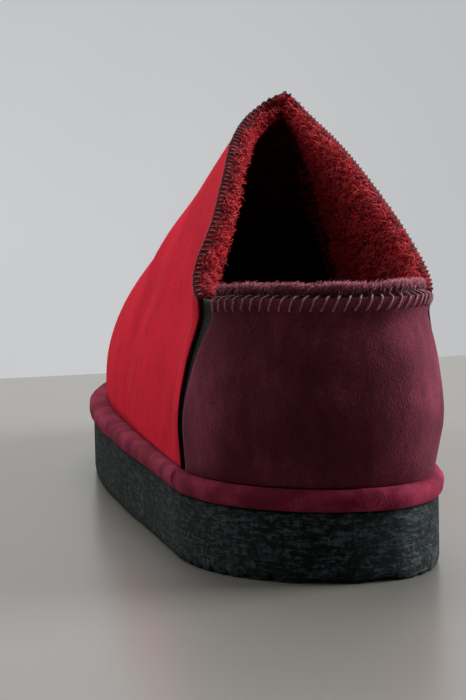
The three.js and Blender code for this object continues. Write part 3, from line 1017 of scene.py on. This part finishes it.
# %% Where the wool grows
def pick(grid, rng, number, along, up):
    """Random spots on a grid, between two shares along it and two shares up it."""
    rows, cols = grid.shape[:2]
    i = rng.uniform(along[0], along[1], number) * (rows - 1)
    j = rng.uniform(up[0], up[1], number) * (cols - 1)
    i0, j0 = np.minimum(i.astype(int), rows - 2), np.minimum(j.astype(int), cols - 2)
    a, b = (i - i0)[:, None], (j - j0)[:, None]
    low = grid[i0, j0] * (1 - b) + grid[i0, j0 + 1] * b
    high = grid[i0 + 1, j0] * (1 - b) + grid[i0 + 1, j0 + 1] * b
    return low * (1 - a) + high * a


def lined(grid, side):
    """The inside of a panel: its points and the way into the shoe, side by side."""
    inward = -way_out(grid, side)
    return np.concatenate([grid + inward * UPPER_WALL, inward], -1)


print("the lining lies", UPPER_WALL, "mm inside the skin")

# %% [markdown]
# Hair particles would be quick to set up, but a lock has to be a mesh to be kept. Each one is a
# tapered three-sided spike with a bend in it, all in one mesh, and a number along each lock lets the
# finish darken its roots with painted shade. Locks lean together in small clumps, from a slow wave over the
# surface.

# %% Locks of wool
LOCK_RINGS = ((0.0, 1.1), (0.4, 1.0), (0.75, 0.75), (1.0, 0.0))
CLUMPING, LEAST_RISE, ROOT_DEPTH = 0.6, 0.3, 0.3
SHORTEST, LONGEST = 0.6, 1.15
LEAST_TWIST, MOST_TWIST = 3.0, 6.5


def locks(name, spots, finish, rng, length, width, lean=(0, 0, 0), spread=0.5, curl=0.24):
    """Curly locks in one mesh: three rings of three points along a twist, and a tip. Each spot is
    a root and the way that the wool stands there."""
    roots, outward = spots[:, :3], spots[:, 3:]
    number = len(roots)
    waves = [np.sin(roots[:, k - 1] / 1.9 + k) * np.cos(roots[:, k - 2] / 2.6) for k in range(3)]
    heading = outward + np.stack(waves, 1) * CLUMPING
    heading = heading + rng.normal(0, spread, (number, 3)) + np.asarray(lean, float)
    heading /= np.linalg.norm(heading, axis=1, keepdims=True)
    buried = LEAST_RISE - (heading * outward).sum(1, keepdims=True)
    heading += outward * np.maximum(buried, 0)
    size = length * rng.uniform(SHORTEST, LONGEST, number)[:, None]
    aside = np.cross(heading, rng.normal(0, 1, (number, 3)))
    aside /= np.linalg.norm(aside, axis=1, keepdims=True)
    third = np.cross(heading, aside)
    twist = rng.uniform(LEAST_TWIST, MOST_TWIST, number)[:, None]
    points, shares = [], []
    for share, thick in LOCK_RINGS:
        turn = twist * share
        centre = roots - outward * ROOT_DEPTH + heading * size * share
        centre = centre + (aside * np.sin(turn) + third * (1 - np.cos(turn))) * size * curl
        for corner in range(3 if thick else 1):
            angle = 2 * math.pi * corner / 3 + share
            points.append(centre + (aside * math.cos(angle) + third * math.sin(angle)) * width * thick)
            shares.append(np.full(number, share))
    vertices = np.stack(points, 1).reshape(-1, 3)
    corners = [(k, c, (c + 1) % 3) for k in (0, 3) for c in range(3)]
    ring = [(k + c, k + d, k + 3 + d, k + 3 + c) for k, c, d in corners]
    tip = [(6 + c, 6 + (c + 1) % 3, 9) for c in range(3)]
    starts = np.arange(number)[:, None, None] * 10
    quads = (starts + np.array(ring)).reshape(-1, 4)
    tips = (starts + np.array(tip)).reshape(-1, 3)
    piece = make_piece(name, to_frame(vertices), quads.tolist() + tips.tolist(), [finish])
    along = np.stack(shares, 1).ravel()
    piece.data.attributes.new("along", "FLOAT", "POINT").data.foreach_set("value", along)
    return piece


print("a lock is drawn with", len(LOCK_RINGS), "rings")

# %% [markdown]
# The vamp's wool is red and the heel's is burgundy, like the suede outside. The walls get most of
# their locks near the opening, where they are seen, and a finer, denser row stands along each edge.

# %% Wool inside the vamp
rng = np.random.default_rng(11)
BACK, BACK_AND_DOWN = (0, -0.1, 0), (0, -0.3, -0.3)
open_part = OPEN_ROWS / len(VAMP_GRIDS[0])
for side, grid, label in ((OUTER, VAMP_GRIDS[0], "outer"), (INNER, VAMP_GRIDS[1], "inner")):
    inside = lined(grid, side)
    near = pick(inside, rng, 7600, along=(0.0, open_part * 0.94), up=(0.3, 0.99))
    deep = pick(inside, rng, 2400, along=(0.0, open_part * 1.2), up=(0.04, 0.6))
    spots = np.vstack([near, deep])
    fleece = locks("vamp_pile_" + label, spots, RED_PILE, rng, length=3.2, width=0.2, lean=BACK)
    place(fleece, "lining_wool")
    rim = pick(inside, rng, 4200, along=(0.0, open_part * 0.88), up=(0.95, 1.0))
    rim[:, :3] -= rim[:, 3:] * rng.uniform(0.0, 1.3, (len(rim), 1))
    fringe = locks("vamp_rim_pile_" + label, rim, RED_PILE, rng, length=2.3, width=0.15, lean=BACK_AND_DOWN)
    place(fringe, "lining_wool")

# %% [markdown]
# The heel panel's edge shows the most wool, a soft burgundy roll that stands up over the stitches.
# The footbed's pile is coarser and lies in all directions, because a foot has pressed it.

# %% Wool inside the heel and on the footbed
RISING, UPRIGHT = (0, 0, 0.3), (0, 0, 1.3)
for side, grid, label in ((OUTER, COUNTER_GRIDS[0], "outer"), (INNER, COUNTER_GRIDS[1], "inner")):
    inside = lined(grid, side)
    wall = pick(inside, rng, 3200, along=(0.0, 1.0), up=(0.1, 0.97))
    fleece = locks("counter_pile_" + label, wall, WINE_PILE, rng, length=3.2, width=0.22, lean=RISING)
    place(fleece, "lining_wool")
    rim = pick(inside, rng, 4000, along=(0.0, 1.0), up=(0.95, 1.0))
    fringe = locks("counter_rim_pile_" + label, rim, WINE_PILE, rng, length=3.3, width=0.14, lean=UPRIGHT)
    place(fringe, "lining_wool")

spots = pick(BED_GRID, rng, 7600, along=(0.02, 0.6), up=(0.03, 0.97))
spots = np.concatenate([spots, np.tile([0.0, 0.0, 1.0], (len(spots), 1))], -1)
place(locks("insole_pile", spots, BED_PILE, rng, length=3.6, width=0.4, spread=0.6), "lining_wool")

# %% [markdown]
# ## Whip stitches
# The edges of vamp and counter are overcast: a thick thread goes over the edge again and again,
# slanted by its pitch. A picture of stitches would stay flat at the rim, where they stand out against
# the wall. So each is a short bent tube, and first the edge is divided into even steps.

# %% Steps along an edge, and a tube
def along_edge(line, pitch, *others):
    """Even steps along a line of points, with whatever else is known at its points."""
    way = np.concatenate([[0], np.cumsum(np.linalg.norm(np.diff(line, axis=0), axis=1))])
    spots = np.arange(pitch / 2, way[-1], pitch)
    return [np.stack([np.interp(spots, way, column[:, k]) for k in range(3)], 1)
            for column in (line, *others)]


def tube_faces(rings, sides, start):
    """The quads of a tube and its two ends."""
    faces = []
    for r in range(rings - 1):
        for c in range(sides):
            d = (c + 1) % sides
            low, high = start + r * sides, start + (r + 1) * sides
            faces.append((low + c, low + d, high + d, high + c))
    faces.append(tuple(start + c for c in reversed(range(sides))))
    faces.append(tuple(start + (rings - 1) * sides + c for c in range(sides)))
    return faces


print("a tube of 8 rings has", len(tube_faces(8, 6, 0)), "faces")

# %% [markdown]
# One stitch is a table: how far along the pitch, how deep below the edge, how far out of the skin and
# how far over the edge its thread lies. The same stitch is set at each step, with a small wobble.

# %% One stitch, again and again
WOBBLE = 0.05
STITCH = table(
    "along down out over",
    (-0.42, 1.0, -0.3, 0),
    (-0.36, 0.85, 0.16, 0),
    (-0.14, 0.4, 0.3, 0),
    (0.04, 0.0, 0.22, 0),
    (0.14, -0.1, -0.2, 0.15),
    (0.26, -0.1, 0.0, 0.6),
    (0.34, 0.0, -0.1, 1.0),
    (0.44, 0.6, -0.2, 1.0),
)


def overcast(name, edge, below, finish, rng, pitch, bite, over, thick, sides=6):
    """Stitches over an edge; below is a lower row of the skin. A stitch goes in a bite under the
    edge on the outside, and over the edge to a depth on the inside."""
    down = below - edge
    line, down = along_edge(edge, pitch, down)
    forward = np.gradient(line, axis=0)
    forward /= np.linalg.norm(forward, axis=1, keepdims=True)
    down -= forward * (down * forward).sum(1, keepdims=True)
    down /= np.linalg.norm(down, axis=1, keepdims=True)
    out = np.cross(forward, down)
    centre = line.mean(0)
    out *= np.sign((out * (line - centre)).sum(1).mean())
    outs = STITCH["out"] - STITCH["over"] * over
    steps = list(zip(STITCH["along"] * pitch, STITCH["down"] * bite, outs))
    vertices, faces = [], []
    for spot, ahead, under, side in zip(line, forward, down, out):
        wobble = rng.normal(0, WOBBLE, (len(steps), 3))
        spine = np.array([spot + ahead * a + under * d + side * n for a, d, n in steps]) + wobble
        run = np.gradient(spine, axis=0)
        run /= np.linalg.norm(run, axis=1, keepdims=True)
        across = np.cross(run, ahead + 0.01)
        across /= np.linalg.norm(across, axis=1, keepdims=True)
        third = np.cross(run, across)
        start = len(vertices) * sides
        for p, a, b in zip(spine, across, third):
            angles = np.arange(sides) * 2 * np.pi / sides
            vertices.append(p + (np.cos(angles)[:, None] * a + np.sin(angles)[:, None] * b) * thick)
        faces += tube_faces(len(steps), sides, start)
    piece = make_piece(name, to_frame(np.vstack(vertices)), faces, [finish])
    print(name, "has", len(line), "stitches")
    return piece


print("a stitch has", len(STITCH["along"]), "rings")

# %% [markdown]
# The vamp has small black stitches close together along its dark edge, which is partly binding and
# partly painted shade. The counter's are longer and wider apart, in a wine thread, and go over the
# whole wall. The line that they follow runs up one side and down the other.

# %% Overcast edges
EDGE_ROWS = (-1, -4)
halves = VAMP_GRIDS[0][:OPEN_ROWS], VAMP_GRIDS[1][:OPEN_ROWS][::-1]
edge = [np.vstack([half[:, k] for half in halves]) for k in EDGE_ROWS]
close = dict(pitch=1.9, bite=1.1, over=1.3, thick=0.21)
vamp_stitches = overcast("vamp_edge_stitches", *edge, BLACK_THREAD, rng, **close)
place(vamp_stitches, "vamp_suede")
halves = COUNTER_GRIDS[0][::-1], COUNTER_GRIDS[1][1:]
edge = [np.vstack([half[:, k] for half in halves]) for k in EDGE_ROWS]
wide = dict(pitch=2.6, bite=2.8, over=UPPER_WALL, thick=0.25)
counter_stitches = overcast("counter_edge_stitches", *edge, WINE_THREAD, rng, **wide)
place(counter_stitches, "counter_suede")

# %% [markdown]
# ## Camera, floor and light
# The camera stands where the photograph was taken: behind the heel, a little to the outer side
# and not far above the floor. It is turned to the middle of the shoe and has a longer lens, so
# the one shoe fills the picture at the same angle.

# %% Camera
CAMERA_AT = (-0.0641, -0.6999, 0.1190)
CAMERA_YAW = 9.34
CAMERA_PITCH = 1.43
CAMERA_ROLL = 1.05
AIM_AT = (-0.0135, -0.062, 0.047)
FOCAL_PIXELS = 2520.0
FRAME_HEIGHT_PIXELS = 700.0
SENSOR_MM = 36.0

camera_data = bpy.data.cameras.new("camera")
camera = bpy.data.objects.new("camera", camera_data)
bpy.context.collection.objects.link(camera)
bpy.context.scene.camera = camera
yaw, pitch, roll = (math.radians(a) for a in (CAMERA_YAW, CAMERA_PITCH, CAMERA_ROLL))
turn_back = Matrix.Rotation(-yaw, 3, "Z")
upright = math.cos(roll)
photo_up = turn_back @ Vector((math.sin(roll), upright * math.sin(pitch), upright * math.cos(pitch)))
forward = (Vector(AIM_AT) - Vector(CAMERA_AT)).normalized()
right = forward.cross(photo_up).normalized()
up = right.cross(forward)
turn = Matrix((right, up, -forward)).transposed().to_4x4()
camera.matrix_world = Matrix.Translation(CAMERA_AT) @ turn
camera_data.sensor_width = SENSOR_MM
camera_data.lens = FOCAL_PIXELS / FRAME_HEIGHT_PIXELS * SENSOR_MM
camera_data.clip_start = 0.01
print("lens", round(camera_data.lens, 1), "mm")

# %% [markdown]
# The shoe stands on a pale smooth top that ends a short way past the toe, with a soft gloss that
# mirrors the sole. A lit wall far behind gives the plain background and some of the soft light. A lit
# colour behind everything would be simpler, but the top couldn't mirror where it ends.

# %% Floor and wall
def plain_stage(name, corners, finish):
    piece = make_piece(name, [tuple(c) for c in corners], [(0, 1, 2, 3)], [finish], smooth=False)


def floor_finish():
    f = Finish("floor")
    cloud = f.noise(70.0, 3.0)
    tint = f.mix(cloud * 0.4, shade(123, 120, 114), shade(112, 109, 104))
    return f.surface(tint, 0.27, f.bump(cloud, 0.3, 0.1), Specular_IOR_Level=0.75)


def wall_finish():
    f = Finish("wall")
    cloud = f.noise(600.0, 2.0)
    glow = f.mix(cloud, shade(188, 189, 190), shade(204, 205, 206))
    return f.surface(glow, 1.0, None, Emission_Color=glow, Emission_Strength=0.52, Specular_IOR_Level=0.0)


EDGE_LEFT = (-0.22, 0.947)
EDGE_RIGHT = (0.258, 1.110)
FLOOR_REACH = 4.0
WALL_AWAY = 1.9
WALL_FROM, WALL_TO = -2.5, 4.0


def before_camera(spot):
    """A place on the floor, given by how far to the right of the camera and ahead of it."""
    away = turn_back @ Vector((spot[0], spot[1], 0))
    return np.array([CAMERA_AT[0] + away.x, CAMERA_AT[1] + away.y])


edge_a, edge_b = before_camera(EDGE_LEFT), before_camera(EDGE_RIGHT)
edge_way = (edge_b - edge_a) / np.linalg.norm(edge_b - edge_a)
nearer = np.array([edge_way[1], -edge_way[0]])
far_a, far_b = edge_a - edge_way * FLOOR_REACH, edge_b + edge_way * FLOOR_REACH
near_a, near_b = far_a + nearer * 2 * FLOOR_REACH, far_b + nearer * 2 * FLOOR_REACH
plain_stage("floor", [(*near_a, 0), (*near_b, 0), (*far_b, 0), (*far_a, 0)], floor_finish())
wall_a, wall_b = far_a - nearer * WALL_AWAY, far_b - nearer * WALL_AWAY
wall_corners = [(*wall_a, WALL_FROM), (*wall_b, WALL_FROM), (*wall_b, WALL_TO), (*wall_a, WALL_TO)]
plain_stage("wall", wall_corners, wall_finish())
print("the floor ends", round(float(np.linalg.norm((edge_a + edge_b) / 2)), 2), "m from the shoe")

# %% [markdown]
# The room has soft daylight from the left and from behind, and a low glow from the right that
# brushes the heel panel's side. Large area lights give such soft edges to the shadows, which the sun
# lamp and small lamps don't.

# %% Light
def soft_light(name, place_at, look_at, size, watts, colour=(1, 1, 1)):
    data = bpy.data.lights.new(name, "AREA")
    data.shape = "RECTANGLE"
    data.size, data.size_y = size
    data.energy = watts
    data.color = colour
    lamp = bpy.data.objects.new(name, data)
    lamp.location = place_at
    lamp.rotation_euler = (Vector(look_at) - Vector(place_at)).to_track_quat("-Z", "Y").to_euler()
    bpy.context.collection.objects.link(lamp)


SHOE_MIDDLE = (0.0, 0.0, 0.05)
soft_light("window", (-1.05, 0.5, 0.8), SHOE_MIDDLE, size=(1.0, 1.0), watts=9.0, colour=(1.0, 0.98, 0.96))
soft_light("sky", (0.05, 0.85, 1.25), SHOE_MIDDLE, size=(1.1, 1.1), watts=18.0)
soft_light("far_side", (1.1, 0.1, 0.5), SHOE_MIDDLE, size=(0.8, 0.8), watts=30.0, colour=(0.97, 0.98, 1.0))
world = bpy.data.worlds.new("room")
world.use_nodes = True
world.node_tree.nodes["Background"].inputs["Color"].default_value = (0.9, 0.92, 0.95, 1)
world.node_tree.nodes["Background"].inputs["Strength"].default_value = 0.25
bpy.context.scene.world = world
bpy.context.scene.view_settings.view_transform = "Standard"
print("lights:", [lamp.name for lamp in bpy.data.lights])

# %% [markdown]

# %% [markdown]
